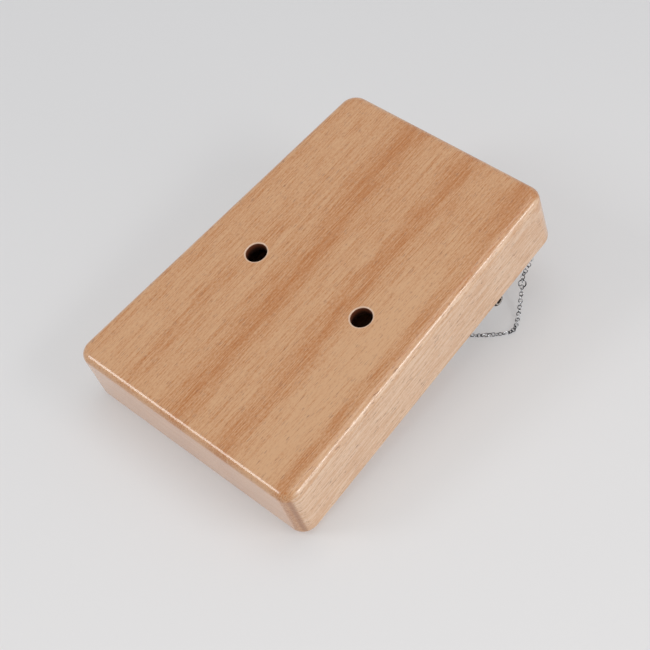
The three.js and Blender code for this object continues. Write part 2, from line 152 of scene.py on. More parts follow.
def place_on_chain(distance):
    """The point at a distance along the chain, and the chain's direction there."""
    i = max(k for k in range(len(along) - 1) if along[k] <= max(distance, 0))
    start, end = line[i], line[i + 1]
    share = (distance - along[i]) / (along[i + 1] - along[i])
    return start.lerp(end, share), (end - start).normalized()


def facing(direction, roll=0.0):
    """The turn that brings Z to a direction and keeps X level, then rolls about it."""
    level = Vector((0, 0, 1)).cross(direction).normalized()
    turn = Matrix((level, direction.cross(level), direction)).transposed()
    return turn.to_4x4() @ Matrix.Rotation(roll, 4, "Z")


class Wire:
    """An output of one of a finish's nodes. Sums with it add their Math nodes."""

    def __init__(self, finish, socket):
        self.finish = finish
        self.socket = socket

    def maths(self, operation, *values):
        return self.finish.node("ShaderNodeMath", {"operation": operation}, dict(enumerate(values)))

    def __add__(self, other):
        return self.maths("ADD", self, other)

    def __sub__(self, other):
        return self.maths("SUBTRACT", self, other)

    def __rsub__(self, other):
        return self.maths("SUBTRACT", other, self)

    def __mul__(self, other):
        return self.maths("MULTIPLY", self, other)

    def __truediv__(self, other):
        return self.maths("DIVIDE", self, other)

    def __pow__(self, other):
        return self.maths("POWER", self, other)

    def __abs__(self):
        return self.maths("ABSOLUTE", self)

    def between(self, low, high):
        """0 below low, 1 above high, and a smooth rise from one to the other."""
        return self.finish.node(
            "ShaderNodeMapRange",
            {"interpolation_type": "SMOOTHSTEP"},
            {"Value": self, "From Min": low, "From Max": high},
        )

    __radd__ = __add__
    __rmul__ = __mul__


class Finish:
    """A material: a Principled shader, and the nodes that feed what varies over the surface."""

    def __init__(self, name, uniform):
        self.material = bpy.data.materials.new(name)
        self.material.use_nodes = True
        self.tree = self.material.node_tree
        self.tree.nodes.clear()
        self.shader = self.node("ShaderNodeBsdfPrincipled", {}, uniform)
        self.node("ShaderNodeOutputMaterial", {}, {"Surface": self.shader})
        self.place = self.node("ShaderNodeTexCoord", {}, {}, "Object")

    def node(self, kind, settings, sockets, output=0):
        made = self.tree.nodes.new(kind)
        for name, value in settings.items():
            if name == "stops":
                ramp = made.color_ramp
                ramp.elements.remove(ramp.elements[1])
                ramp.elements[0].position, ramp.elements[0].color = value[0][0], (*value[0][1], 1)
                for place, colour in value[1:]:
                    ramp.elements.new(place).color = (*colour, 1)
            else:
                setattr(made, name, value)
        for name, value in sockets.items():
            if isinstance(value, Wire):
                self.tree.links.new(value.socket, made.inputs[name])
            else:
                made.inputs[name].default_value = value
        return Wire(self, made.outputs[output]) if made.outputs else made

    def feed(self, **sockets):
        """Links wires to the Principled shader, whose inputs are named with _ for a space."""
        shader = self.shader.socket.node
        for name, wire in sockets.items():
            self.tree.links.new(wire.socket, shader.inputs[name.replace("_", " ")])

    def noise(self, size, detail=2, shift=0.0):
        """Noise about 0.5 whose lumps have this size along X, Y and Z."""
        stretched = self.node(
            "ShaderNodeVectorMath",
            {"operation": "MULTIPLY_ADD"},
            {0: self.place, 1: [1 / s for s in size], 2: (shift, shift, shift)},
        )
        return self.node("ShaderNodeTexNoise", {},
                         {"Vector": stretched, "Scale": 1, "Detail": detail})

    def axes(self, count=2):
        """X and Y, and Z if asked for, of the place that a node shades."""
        return [self.node("ShaderNodeSeparateXYZ", {}, {"Vector": self.place}, i)
                for i in range(count)]

    def mix(self, factor, a, b):
        """Colour a where the factor is 0, and colour b where it is 1."""
        colours = {name: value if isinstance(value, Wire) else (*value, 1)
                   for name, value in ((6, a), (7, b))}
        return self.node("ShaderNodeMix", {"data_type": "RGBA"}, {0: factor, **colours}, 2)

    def bump(self, height, distance, strength=1.0):
        return self.node("ShaderNodeBump", {}, {"Height": height, "Distance": distance,
                                                "Strength": strength})


def ink(red, green, blue):
    """A colour as seen on a screen, 0 to 255, as the light that a shader works with."""
    shares = [c / 255 for c in (red, green, blue)]
    return tuple(s / 12.92 if s <= 0.04045 else ((s + 0.055) / 1.055) ** 2.4 for s in shares)


def wear(piece, finish):
    """Gives a piece this finish alone."""
    piece.data.materials.clear()
    piece.data.materials.append(finish.material)


def link_steel():
    """Drawn steel wire, darker and duller in random patches that are painted dark reflections."""
    finish = Finish("link_steel", {"Metallic": 1.0, "Specular IOR Level": 0.5})
    dark_patches = finish.noise((0.0014, 0.0014, 0.0014), 2).between(0.36, 0.58)
    scratch = finish.noise((0.0003, 0.0003, 0.0003), 2, 7.0)
    colour = finish.mix(dark_patches, ink(236, 237, 240), ink(62, 63, 66))
    finish.feed(Base_Color=colour, Roughness=dark_patches * 0.2 + 0.12,
                Normal=finish.bump(scratch, 0.00002, 0.5))
    return finish


link_finish = link_steel()


def model_link():
    """One oval link about the origin, its length along Z, welded from round wire."""
    bend = (chain_width - link_wire) / 2
    bpy.ops.mesh.primitive_torus_add(major_radius=bend, minor_radius=link_wire / 2,
                                     major_segments=12, minor_segments=6,
                                     rotation=(math.pi / 2, 0, 0))
    link = bpy.context.object
    bpy.ops.object.transform_apply()
    straight = (link_length - chain_width) / 2
    bpy.ops.object.mode_set(mode="EDIT")
    for side in (-1, 1):
        shape = bmesh.from_edit_mesh(link.data)
        for v in shape.verts:
            v.select_set(v.co.z * side > link_wire / 100)
        shape.select_flush_mode()
        bmesh.update_edit_mesh(link.data)
        bpy.ops.transform.translate(value=(0, 0, side * straight))
    bpy.ops.object.mode_set(mode="OBJECT")
    return link


def joined(pieces, name):
    """Joins pieces into one object at the origin."""
    bpy.ops.object.select_all(action="DESELECT")
    for piece in pieces:
        piece.select_set(True)
    bpy.context.view_layer.objects.active = pieces[0]
    if len(pieces) > 1:
        bpy.ops.object.join()
    bpy.ops.object.transform_apply()
    whole = bpy.context.object
    whole.name = whole.data.name = name
    bpy.ops.object.select_all(action="DESELECT")
    return whole


ring_distance = along[ring_point * steps_each]
end_room = 0.0010
before_ring = round((ring_distance - end_room) / link_pitch)
first_pitch = (ring_distance - end_room) / before_ring
after_ring = round((chain_length - ring_distance - end_room) / link_pitch)
second_pitch = (chain_length - ring_distance - end_room) / after_ring
link_places = [end_room + i * first_pitch for i in range(before_ring)]
link_places += [ring_distance + i * second_pitch for i in range(1, after_ring + 1)]

pattern_link = model_link()
links = []
quarter = math.pi / 2
for number, distance in enumerate(link_places):
    link = pattern_link.copy()
    link.data = pattern_link.data.copy()
    bpy.context.collection.objects.link(link)
    point, direction = place_on_chain(distance)
    lean = link_lean * math.sin(link_lean_step * number)
    link.matrix_world = Matrix.Translation(point) @ facing(direction, number * quarter + lean)
    links.append(link)
bpy.data.objects.remove(pattern_link)
chain = joined(links, "chain_links")
bpy.ops.object.select_all(action="DESELECT")
bpy.context.view_layer.objects.active = chain
chain.select_set(True)
bpy.ops.object.shade_smooth()
wear(chain, link_finish)


def wire_ring(name, centre, axis, width, wire):
    """A ring of round wire about an axis."""
    bpy.ops.object.select_all(action="DESELECT")
    bpy.ops.mesh.primitive_torus_add(major_radius=(width - wire) / 2, minor_radius=wire / 2,
                                     major_segments=48, minor_segments=14)
    ring = bpy.context.object
    ring.matrix_world = Matrix.Translation(centre) @ facing(axis)
    bpy.ops.object.shade_smooth()
    wear(ring, link_finish)
    return joined([ring], name)


ring_centre, ring_direction = place_on_chain(ring_distance)
ring_axis = (camera_place - ring_centre).cross(ring_direction).cross(ring_direction).normalized()
chain_ring = wire_ring("chain_middle_ring", ring_centre, ring_axis, ring_width, ring_wire)
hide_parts("chain_ring")

split_rings = []
for side, eye in (("right", "screw_eye_right"), ("left", "screw_eye_left")):
    low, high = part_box(eye)
    hangs_at = low.z + eye_wire_radius - split_ring_drop
    centre = Vector(((low.x + high.x) / 2, (low.y + high.y) / 2, hangs_at))
    split_rings.append(wire_ring(f"split_ring_{side}", centre, Vector((1, 0, 0)),
                                 split_ring_width, split_ring_wire))

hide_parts("buzz_chain")
for piece in (chain, chain_ring, *split_rings):
    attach(piece, "box")

# Body
# One piece of tan mahogany, carved out from the front so that back and sides are in one, with two
# round holes in the back. Its edges are rounded over, and it is lacquered outside and bare inside.
near_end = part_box("body_shell")[0].y
far_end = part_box("body_shell")[1].y
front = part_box("body_shell")[0].z
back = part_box("body_shell")[1].z
near_width = 0.138
far_width = 0.119
corner_round = 0.008
back_round = 0.004
front_round = 0.0036
rim_width = 0.0045
rebate_depth = 0.003
rebate_corner = 0.004
wall = 0.010
back_thickness = 0.005
hollow_corner = 0.007
hole_width = 0.0103
hole_spacing = 0.066
hole_rim_round = 0.0005
holes_from_near_end = 0.0875
side_slope = (near_width - far_width) / 2 / (far_end - near_end)


def half_width(y):
    return near_width / 2 - side_slope * (y - near_end)


def pick(kind, test):
    """In edit mode, selects the verts, edges or faces that pass a test."""
    modes = {"verts": "VERT", "edges": "EDGE", "faces": "FACE"}
    bpy.ops.mesh.select_mode(type=modes[kind])
    bpy.ops.mesh.select_all(action="DESELECT")
    shape = bmesh.from_edit_mesh(bpy.context.object.data)
    for item in getattr(shape, kind):
        item.select_set(test(item))
    shape.select_flush_mode()
    bmesh.update_edit_mesh(bpy.context.object.data)


def bevel(width, segments):
    bpy.ops.mesh.bevel(offset=width, segments=segments, profile=0.5, affect="EDGES",
                       clamp_overlap=False)


def wedge(inset, low, high, corner, corner_segments=12):
    """A slab with the body's tapering outline drawn in by inset, and round corners."""
    bpy.ops.object.select_all(action="DESELECT")
    y_near = near_end + inset
    y_far = far_end - inset
    leaning = math.hypot(1, side_slope)
    wide_near = half_width(y_near) - inset * leaning
    wide_far = half_width(y_far) - inset * leaning
    bpy.ops.mesh.primitive_cube_add(size=1, location=(0, (y_near + y_far) / 2, (low + high) / 2),
                                    scale=(2 * wide_near, y_far - y_near, high - low))
    bpy.ops.object.transform_apply()
    bpy.ops.object.mode_set(mode="EDIT")
    pick("verts", lambda v: v.co.y > 0)
    bpy.ops.transform.resize(value=(wide_far / wide_near, 1, 1))
    pick("edges", lambda e: abs(e.verts[0].co.z - e.verts[1].co.z) > (high - low) / 2)
    bevel(corner, corner_segments)
    bpy.ops.object.mode_set(mode="OBJECT")
    return bpy.context.object


def round_edges_at(z, width, segments):
    """Rounds the edges that lie at one height all round a slab."""
    bpy.ops.object.mode_set(mode="EDIT")
    pick("edges", lambda e: all(abs(v.co.z - z) < 1e-6 for v in e.verts))
    bevel(width, segments)
    bpy.ops.object.mode_set(mode="OBJECT")


def turned(x, y, profile, sides=48):
    """A post on Z: a disc drawn up through a list of heights and radii."""
    bpy.ops.object.select_all(action="DESELECT")
    height, radius = profile[0]
    bpy.ops.mesh.primitive_circle_add(vertices=sides, radius=radius, fill_type="NGON",
                                      location=(x, y, height))
    bpy.ops.object.transform_apply()
    bpy.ops.object.mode_set(mode="EDIT")
    bpy.ops.mesh.select_all(action="SELECT")
    for next_height, next_radius in profile[1:]:
        bpy.ops.mesh.extrude_region_move(
            TRANSFORM_OT_translate={"value": (0, 0, next_height - height)})
        share = next_radius / radius
        bpy.ops.transform.resize(value=(share, share, 1), center_override=(x, y, next_height))
        height, radius = next_height, next_radius
    bpy.ops.mesh.select_all(action="SELECT")
    bpy.ops.mesh.normals_make_consistent(inside=False)
    bpy.ops.object.mode_set(mode="OBJECT")
    return bpy.context.object


def finish_with(piece, kind, **settings):
    """Adds a modifier and applies it."""
    bpy.ops.object.select_all(action="DESELECT")
    piece.select_set(True)
    bpy.context.view_layer.objects.active = piece
    modifier = piece.modifiers.new(kind.lower(), kind)
    for name, value in settings.items():
        setattr(modifier, name, value)
    bpy.ops.object.modifier_apply(modifier=modifier.name)


def cut(piece, cutters, operation="DIFFERENCE"):
    """Cuts each cutter out of a piece and throws the cutter away."""
    for cutter in cutters:
        finish_with(piece, "BOOLEAN", object=cutter, operation=operation, solver="EXACT")
        bpy.data.objects.remove(cutter)


def clean_shading(piece, angle=32):
    """Smooth round parts, crisp edges, and flats that shade flat."""
    bpy.ops.object.select_all(action="DESELECT")
    piece.select_set(True)
    bpy.context.view_layer.objects.active = piece
    bpy.ops.object.shade_smooth_by_angle(angle=math.radians(angle))
    finish_with(piece, "WEIGHTED_NORMAL", keep_sharp=True, weight=60)


def wood(name, pale, dark, pore, gloss, bands=(), grain="Y", uniform=None):
    """Straight-grained wood whose fibres run along Y or X. Bands are broad darker stripes."""
    finish = Finish(name, {"Specular IOR Level": 0.5, "Coat Weight": gloss, "Coat Roughness": 0.06,
                           "Coat IOR": 1.5, **(uniform or {})})

    def lengthwise(thick, long, deep, detail, shift):
        """Noise in lumps this long along the grain."""
        size = (thick, long, deep) if grain == "Y" else (long, thick, deep)
        return finish.noise(size, detail, shift) - 0.5

    x, y = finish.axes()
    ragged = lengthwise(0.0022, 0.03, 0.02, 2, 8.0) * 0.004
    across = x + lengthwise(0.03, 0.09, 0.05, 2, 3.0) * 0.014 + ragged
    depth = y * 0.8 + 0.22
    for at_far_end, at_near_end, half, strength, from_y, to_y in bands:
        lean = (at_far_end - at_near_end) / (far_end - near_end)
        middle = (at_far_end + at_near_end) / 2
        offset = (across - middle - y * lean) / half
        fall = finish.node("ShaderNodeMath", {"operation": "EXPONENT"}, {0: offset * offset * -1.0})
        reach = y.between(from_y - 0.03, from_y + 0.03) * (1 - y.between(to_y - 0.03, to_y + 0.03))
        depth = fall * reach * strength + depth
    streaks = lengthwise(0.0026, 0.09, 0.004, 3, 11.0)
    lines = lengthwise(0.0011, 0.03, 0.0013, 2, 5.0)
    fibres = lengthwise(0.0005, 0.014, 0.0005, 2, 17.0)
    finish.flecks = lengthwise(0.0005, 0.0016, 0.0005, 2, 29.0)
    tone = streaks * 0.5 + lines * 0.7 + fibres * 1.9 + finish.flecks * 1.35 + depth
    finish.fill = finish.mix(tone.between(-0.2, 1.2), pale, dark)
    finish.pores = (lengthwise(0.0004, 0.0048, 0.0005, 2, 23.0) + 0.5).between(0.62, 0.7)
    finish.pore_colour = pore
    finish.colour = finish.mix(finish.pores * 0.65, finish.fill, pore)
    finish.feed(Base_Color=finish.colour, Roughness=fibres * 0.25 + 0.40,
                Normal=finish.bump(fibres * 0.5 - finish.pores, 0.00006, 0.6))
    return finish


body_bands = [
    (-0.0155, -0.003, 0.0085, 0.46, near_end - 0.05, far_end + 0.05),
    (0.018, 0.027, 0.0062, 0.42, near_end - 0.05, far_end + 0.05),
    (0.052, 0.048, 0.0065, 0.44, 0.055, far_end + 0.05),
    (0.053, 0.0625, 0.0040, 0.40, near_end - 0.05, 0.035),
    (-0.038, -0.034, 0.0060, 0.22, near_end - 0.05, 0.03),
    (-0.056, -0.064, 0.0050, 0.12, near_end + 0.02, far_end + 0.05),
    (0.044, 0.047, 0.0100, -0.26, near_end - 0.05, 0.03),
]
body_wood = wood("lacquered_mahogany", ink(208, 160, 115), ink(177, 103, 21), ink(130, 78, 44), 1.0,
                 body_bands)

# The sides have fine grain lines and are painted paler, as painted light on the sides. The ends are
# end grain with faint year rings and pores, painted pale as a painted reflection of the table. The
# corners are painted darker as painted shade, and a painted highlight shows pale round the holes.
side_begins, side_ends = 0.0009, 0.0026
end_grain_edge = 0.0003
corner_shade_begins, corner_shade_ends = 0.0045, 0.0050
rim_highlight_begins, rim_highlight_ends = 0.0003, 0.0010
x, y = body_wood.axes()
to_side = half_width(y) - abs(x)
to_end = far_end - abs(y)
sides = 1 - to_side.between(side_begins, side_ends)
ends = 1 - to_end.between(0.0, end_grain_edge)
shaded_corners = 1 - (to_side + to_end).between(corner_shade_begins, corner_shade_ends)
side_lines = body_wood.noise((0.05, 0.016, 0.0009), 3, 31.0) + body_wood.flecks * 0.3
side_lines = side_lines.between(0.36, 0.64)
# Painted light: the sides are painted paler than the back, with fine grain lines in them
side_grain_painted_pale = body_wood.mix(side_lines, ink(238, 209, 180), ink(213, 173, 139))
year_rings = body_wood.noise((0.045, 0.05, 0.0022), 3, 37.0)
end_pores = body_wood.noise((0.0007, 0.05, 0.0006), 2, 41.0)
clouds = (year_rings * 0.6 + end_pores * 0.4).between(0.34, 0.66)
# Painted reflection: the end grain is painted pale, as the table's reflection in the lacquer, over
# year rings and pores
end_grain_painted_reflection = body_wood.mix(clouds, ink(229, 183, 147), ink(213, 162, 126))
# Painted shade: the corners are painted darker
painted_corner_shade = ink(140, 84, 46)
# Painted highlight: a thin pale ring round each hole in the back
painted_rim_highlight = ink(226, 204, 184)
from_hole_x = abs(x) - hole_spacing / 2
from_hole_y = y - near_end - holes_from_near_end
from_hole = (from_hole_x * from_hole_x + from_hole_y * from_hole_y) ** 0.5
rim_highlights = 1 - from_hole.between(hole_width / 2 + rim_highlight_begins, hole_width / 2 + rim_highlight_ends)
colour = body_wood.mix(sides * 0.65, body_wood.fill, side_grain_painted_pale)
colour = body_wood.mix(ends * 0.7, colour, end_grain_painted_reflection)
colour = body_wood.mix(shaded_corners * 0.8, colour, painted_corner_shade)
colour = body_wood.mix(body_wood.pores * (0.65 - ends * 0.55), colour, body_wood.pore_colour)
body_wood.feed(Base_Color=body_wood.mix(rim_highlights * 0.6, colour, painted_rim_highlight),
               Coat_Weight=1 - sides * side_lines * 0.35)

# The bare wood inside the hollow is painted darker, as painted shade
bare_wood_painted_shade = wood("bare_mahogany_painted_shade", ink(138, 92, 64), ink(96, 58, 36), ink(60, 34, 20), 0.0)

# The holes' walls are painted dark as painted shade, darkest towards the inside
bore_wood_painted_shade = wood("bore_mahogany_painted_shade", ink(124, 68, 44), ink(92, 50, 32), ink(60, 32, 20), 0.0)
shade_deep, shade_shallow = 0.0045, 0.0008
x, y, z = bore_wood_painted_shade.axes(3)
less_shaded = z.between(back - shade_deep, back - shade_shallow)
bore_wood_painted_shade.feed(Base_Color=bore_wood_painted_shade.mix(less_shaded, ink(34, 17, 11), bore_wood_painted_shade.colour))

body = wedge(0, front, back, corner_round, 14)
round_edges_at(back, back_round, 8)
round_edges_at(front, front_round, 5)
beyond = 0.001
hole_y = near_end + holes_from_near_end
ceiling = back - back_thickness
rim_steps = 6
rim = [(ceiling - beyond, hole_width / 2), (back - hole_rim_round, hole_width / 2)]
for step in range(1, rim_steps + 1):
    angle = math.pi / 2 * step / rim_steps
    rim.append((back - hole_rim_round * (1 - math.sin(angle)),
                hole_width / 2 + hole_rim_round * (1 - math.cos(angle))))
rim.append((back + beyond, rim[-1][1]))
cut(body, [
    wedge(rim_width, front - beyond, front + rebate_depth, rebate_corner, 8),
    wedge(wall, front + rebate_depth - beyond, ceiling, hollow_corner, 10),
    turned(-hole_spacing / 2, hole_y, rim, 64),
    turned(hole_spacing / 2, hole_y, rim, 64),
])
wear(body, body_wood)
body.data.materials.append(bare_wood_painted_shade.material)
body.data.materials.append(bore_wood_painted_shade.material)
for face in body.data.polygons:
    x, y, z = face.center
    inside = (abs(x) < half_width(y) - rim_width - beyond / 2 and z < ceiling + 1e-5
              and near_end + rim_width < y < far_end - rim_width and z > front + rebate_depth / 2)
    in_bore = ceiling < z < back - hole_rim_round / 2 and abs(face.normal.z) < 0.5
    bore_far = math.hypot(abs(x) - hole_spacing / 2, y - hole_y) < hole_width / 2 + 2e-5
    face.material_index = 2 if in_bore and bore_far else int(inside)
clean_shading(body)
body.name = body.data.name = "carved_body"
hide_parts("body_shell")
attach(body, "box")

# Braces, bridge block and inserts
# Two bars of bare spruce glued across the soundboard's inner face, a thicker block under the
# bridge, and four turned brass inserts that are screwed into the block to take the studs.
spruce = wood("bare_spruce", ink(226, 198, 152), ink(196, 158, 108), ink(170, 128, 84), 0.0,
              grain="X")
for name in ("near_brace", "middle_brace", "bridge_block"):
    wear(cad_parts[name], spruce)


def turned_brass():
    """Yellow brass with fine rings from the lathe and a little tarnish."""
    finish = Finish("turned_brass", {"Metallic": 1.0})
    rings = finish.noise((0.004, 0.004, 0.00025), 2)
    dark_patches = finish.noise((0.002, 0.002, 0.002), 3, 9.0).between(0.4, 0.7)
    finish.feed(Base_Color=finish.mix(dark_patches, ink(214, 178, 98), ink(160, 124, 62)),
                Roughness=rings * 0.3 + 0.2, Normal=finish.bump(rings, 0.00003, 0.6))
    return finish


brass = turned_brass()
for name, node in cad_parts.items():
    if name.startswith("block_insert"):
        wear(node, brass)

# Soundboard
# A quarter-sawn mahogany board, let into the rebate flush with the rim. It has a round sound hole
# with an eased edge, and is drilled for the four studs and the two screw eyes.
board_gap = 0.00015
board_thickness = 0.003
sound_hole_width = 0.034
sound_hole_y = near_end + 0.052
hole_edge = 0.0008
stud_hole_width = 0.0034
eye_hole_width = 0.0025
board_edge = 0.00025


def middle_of(node):
    low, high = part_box(node)
    return (low + high) / 2


def drilled(x, y, low, high, width, sides=32):
    return turned(x, y, [(low, width / 2), (high, width / 2)], sides)


stud_names = [f"bar_stud_{i}" for i in range(1, 5)]
eye_names = ["screw_eye_right", "screw_eye_left"]
board = wedge(rim_width + board_gap, front, front + board_thickness, rebate_corner - board_gap, 8)
round_edges_at(front, board_edge, 2)
eased = []
for step in range(rim_steps + 1):
    angle = math.pi / 2 * step / rim_steps
    eased.append((front + hole_edge * (1 - math.cos(angle)),
                  sound_hole_width / 2 + hole_edge * (1 - math.sin(angle))))
cutters = [turned(0, sound_hole_y, [(front - beyond, eased[0][1]), *eased,
                                    (front + board_thickness + beyond, sound_hole_width / 2)], 96)]
for names, width in ((stud_names, stud_hole_width), (eye_names, eye_hole_width)):
    for name in names:
        x, y, _ = middle_of(name)
        cutters.append(drilled(x, y, front - beyond, front + board_thickness + beyond, width))
cut(board, cutters)
board_wood = wood("lacquered_board", ink(210, 168, 130), ink(178, 122, 80), ink(124, 78, 48), 1.0,
                  [(-0.030, -0.034, 0.006, 0.25, near_end, far_end),
                   (0.038, 0.043, 0.007, 0.3, near_end, far_end)])
wear(board, board_wood)
clean_shading(board)
board.name = board.data.name = "front_board"
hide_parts("soundboard")
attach(board, "box")

# Bridge
# One bar of dark oiled hardwood glued on the soundboard. Two ridges carry the steel rods in round
# grooves, and the valley between them leaves room for the tines to dip.
saddle = middle_of("saddle_rod")
stop = middle_of("stop_rod")
saddle_radius = (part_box("saddle_rod")[1].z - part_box("saddle_rod")[0].z) / 2
stop_radius = (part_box("stop_rod")[1].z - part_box("stop_rod")[0].z) / 2
groove_gap = 0.00015
ridge_half = 0.0032
below_rod_middle = 0.0004
lip = 0.005
lip_height = 0.0016
valley_height = 0.0032
valley_foot = 0.0015
bridge_low, bridge_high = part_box("bridge_base")
bridge_edge = 0.0004


def drawn_across(section, left, right):
    """A bar whose section is a list of y and z, run from left to right along X."""
    bpy.ops.object.select_all(action="DESELECT")
    bpy.ops.mesh.primitive_circle_add(vertices=len(section), fill_type="NGON")
    bar = bpy.context.object
    for corner, (y, z) in zip(bar.data.vertices, section):
        corner.co = (left, y, z)
    bpy.ops.object.mode_set(mode="EDIT")
    bpy.ops.mesh.select_all(action="SELECT")
    bpy.ops.mesh.extrude_region_move(TRANSFORM_OT_translate={"value": (right - left, 0, 0)})
    bpy.ops.mesh.select_all(action="SELECT")
    bpy.ops.mesh.normals_make_consistent(inside=False)
    bpy.ops.object.mode_set(mode="OBJECT")
    return bar


def round_bar(middle, radius, length, end_round, sides=48):
    """A round bar on X with rounded ends."""
    bpy.ops.object.select_all(action="DESELECT")
    bpy.ops.mesh.primitive_cylinder_add(vertices=sides, radius=radius, depth=length,
                                        location=middle, rotation=(0, math.pi / 2, 0))
    bpy.ops.object.transform_apply()
    if end_round:
        bpy.ops.object.mode_set(mode="EDIT")
        pick("edges", lambda e: abs(e.verts[0].co.x - e.verts[1].co.x) < 1e-6)
        bevel(end_round, 4)
        bpy.ops.object.mode_set(mode="OBJECT")
    return bpy.context.object


bridge = drawn_across([
    (saddle.y - ridge_half - lip, front),
    (stop.y + ridge_half + lip, front),
    (stop.y + ridge_half + lip, front - lip_height),
    (stop.y + ridge_half, stop.z + below_rod_middle),
    (stop.y - ridge_half, stop.z + below_rod_middle),
    (stop.y - ridge_half - valley_foot, front - valley_height),
    (saddle.y + ridge_half + valley_foot, front - valley_height),
    (saddle.y + ridge_half, saddle.z + below_rod_middle),
    (saddle.y - ridge_half, saddle.z + below_rod_middle),
    (saddle.y - ridge_half - lip, front - lip_height),
], bridge_low.x, bridge_high.x)
finish_with(bridge, "BEVEL", width=bridge_edge, segments=4, limit_method="ANGLE",
            angle_limit=math.radians(20))
bridge_length = bridge_high.x - bridge_low.x
cutters = [
    round_bar(saddle, saddle_radius + groove_gap, bridge_length + 2 * beyond, 0),
    round_bar(stop, stop_radius + groove_gap, bridge_length + 2 * beyond, 0),
]
for name in stud_names:
    x, y, _ = middle_of(name)
    cutters.append(drilled(x, y, bridge_low.z - beyond, front + beyond, stud_hole_width))
cut(bridge, cutters)
dark_wood = wood("oiled_hardwood", ink(104, 66, 46), ink(66, 38, 26), ink(36, 20, 13), 0.25,
                 grain="X", uniform={"Coat Roughness": 0.25})
wear(bridge, dark_wood)
clean_shading(bridge)
bridge.name = bridge.data.name = "hardwood_bridge"
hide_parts("bridge_base")
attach(bridge, "box")


# Rods and pressure bar
# Two nickel-plated steel rods lie in the bridge's grooves under the tines. A thicker plated bar
# crosses over the tines between them, flattened and drilled where each stud passes through it.
def nickel_plate(name):
    """Bright plate with faint polishing lines round the bar and soft smudges."""
    finish = Finish(name, {"Metallic": 1.0})
    lines = finish.noise((0.0002, 0.004, 0.004), 2, 4.0)
    smudge = finish.noise((0.006, 0.006, 0.006), 3, 13.0).between(0.42, 0.68)
    finish.colour = finish.mix(smudge, ink(226, 226, 224), ink(204, 202, 198))
    finish.feed(Base_Color=finish.colour, Roughness=smudge * 0.12 + lines * 0.08 + 0.06,
                Normal=finish.bump(lines, 0.00001, 0.4))
    return finish


plate = nickel_plate("nickel_plate")


def put_in_place(piece, name, node, finish):
    """Finishes a plated or bare metal piece and lets it stand for its CAD node on the box."""
    wear(piece, finish)
    clean_shading(piece)
    piece.name = piece.data.name = name
    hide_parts(node)
    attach(piece, "box")


rod_end_round = 0.0005
for name, node, middle, radius in (("front_rod", "saddle_rod", saddle, saddle_radius),
                                   ("rear_rod", "stop_rod", stop, stop_radius)):
    low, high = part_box(node)
    rod = round_bar(middle, radius, high.x - low.x, rod_end_round)
    put_in_place(rod, name, node, plate)

bar_low, bar_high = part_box("pressure_bar")
bar_middle = (bar_low + bar_high) / 2
bar_radius = (bar_high.y - bar_low.y) / 2
washer_low, washer_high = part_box("bar_washer_1")
flat_at = washer_high.z
flat_gap = 0.0003
washer_radius = (washer_high.x - washer_low.x) / 2
bar_axis = bar_high.z - bar_radius
bar_end_round = 0.0009
bar_edge = 0.00012
bar_end_begins = 0.0005
bar = round_bar(Vector((0, bar_middle.y, bar_axis)), bar_radius, bar_high.x - bar_low.x,
                bar_end_round, 64)
cutters = []
for name in stud_names:
    x, y, _ = middle_of(name)
    cutters.append(drilled(x, y, bar_low.z - beyond * 2, bar_high.z + beyond, stud_hole_width))
    cutters.append(drilled(x, y, flat_at - 3 * beyond, flat_at, 2 * (washer_radius + flat_gap), 48))
cut(bar, cutters)
finish_with(bar, "BEVEL", width=bar_edge, segments=2, limit_method="ANGLE",
            angle_limit=math.radians(40))
# The bar's ends are painted with reflections: a dark centre and dark edge as painted dark
# reflections, and a bright ring between them as a painted highlight
bar_plate = nickel_plate("bar_plate")
x, y, z = bar_plate.axes(3)
on_end = abs(x).between(bar_high.x - bar_end_round, bar_high.x - bar_end_begins)
from_axis_y, from_axis_z = y - bar_middle.y, z - bar_axis
from_axis = (from_axis_y * from_axis_y + from_axis_z * from_axis_z) ** 0.5
painted_dark_centre, painted_bright_ring, painted_dark_edge = ink(34, 17, 8), ink(238, 228, 216), ink(58, 54, 51)
painted_end_reflections = bar_plate.node("ShaderNodeValToRGB", {"stops": [
    (0.0, painted_dark_centre), (0.44, painted_dark_centre), (0.50, painted_bright_ring),
    (0.64, painted_bright_ring), (0.72, painted_dark_edge), (1.0, painted_dark_edge)]},
    {"Fac": from_axis / bar_radius})
bar_plate.feed(Base_Color=bar_plate.mix(on_end, bar_plate.colour, painted_end_reflections))
put_in_place(bar, "clamp_bar", "pressure_bar", bar_plate)

# Studs, washers and dome nuts
# Four threaded steel studs stand in the block's inserts and go up through the bridge and the bar.
# A washer and a domed hexagon nut on each pull the bar down on the tines.
stud_radius = 0.00145
thread_depth = 0.00016
thread_pitch = 0.0005
thread_foot = front - 0.0005
thread_rises, thread_flat, thread_falls = 0.00018, 0.00028, 0.00048
stud_end = 0.0003
washer_edge = 0.00012
nut_across_flats = 0.006
nut_hex_height = 0.003
dome_radius = 0.0027
nut_edge = 0.00012
nut_bore_end = 0.0022
nut_foot_cut, nut_top_cut = 0.0003, 0.0006
dome_steps = 10

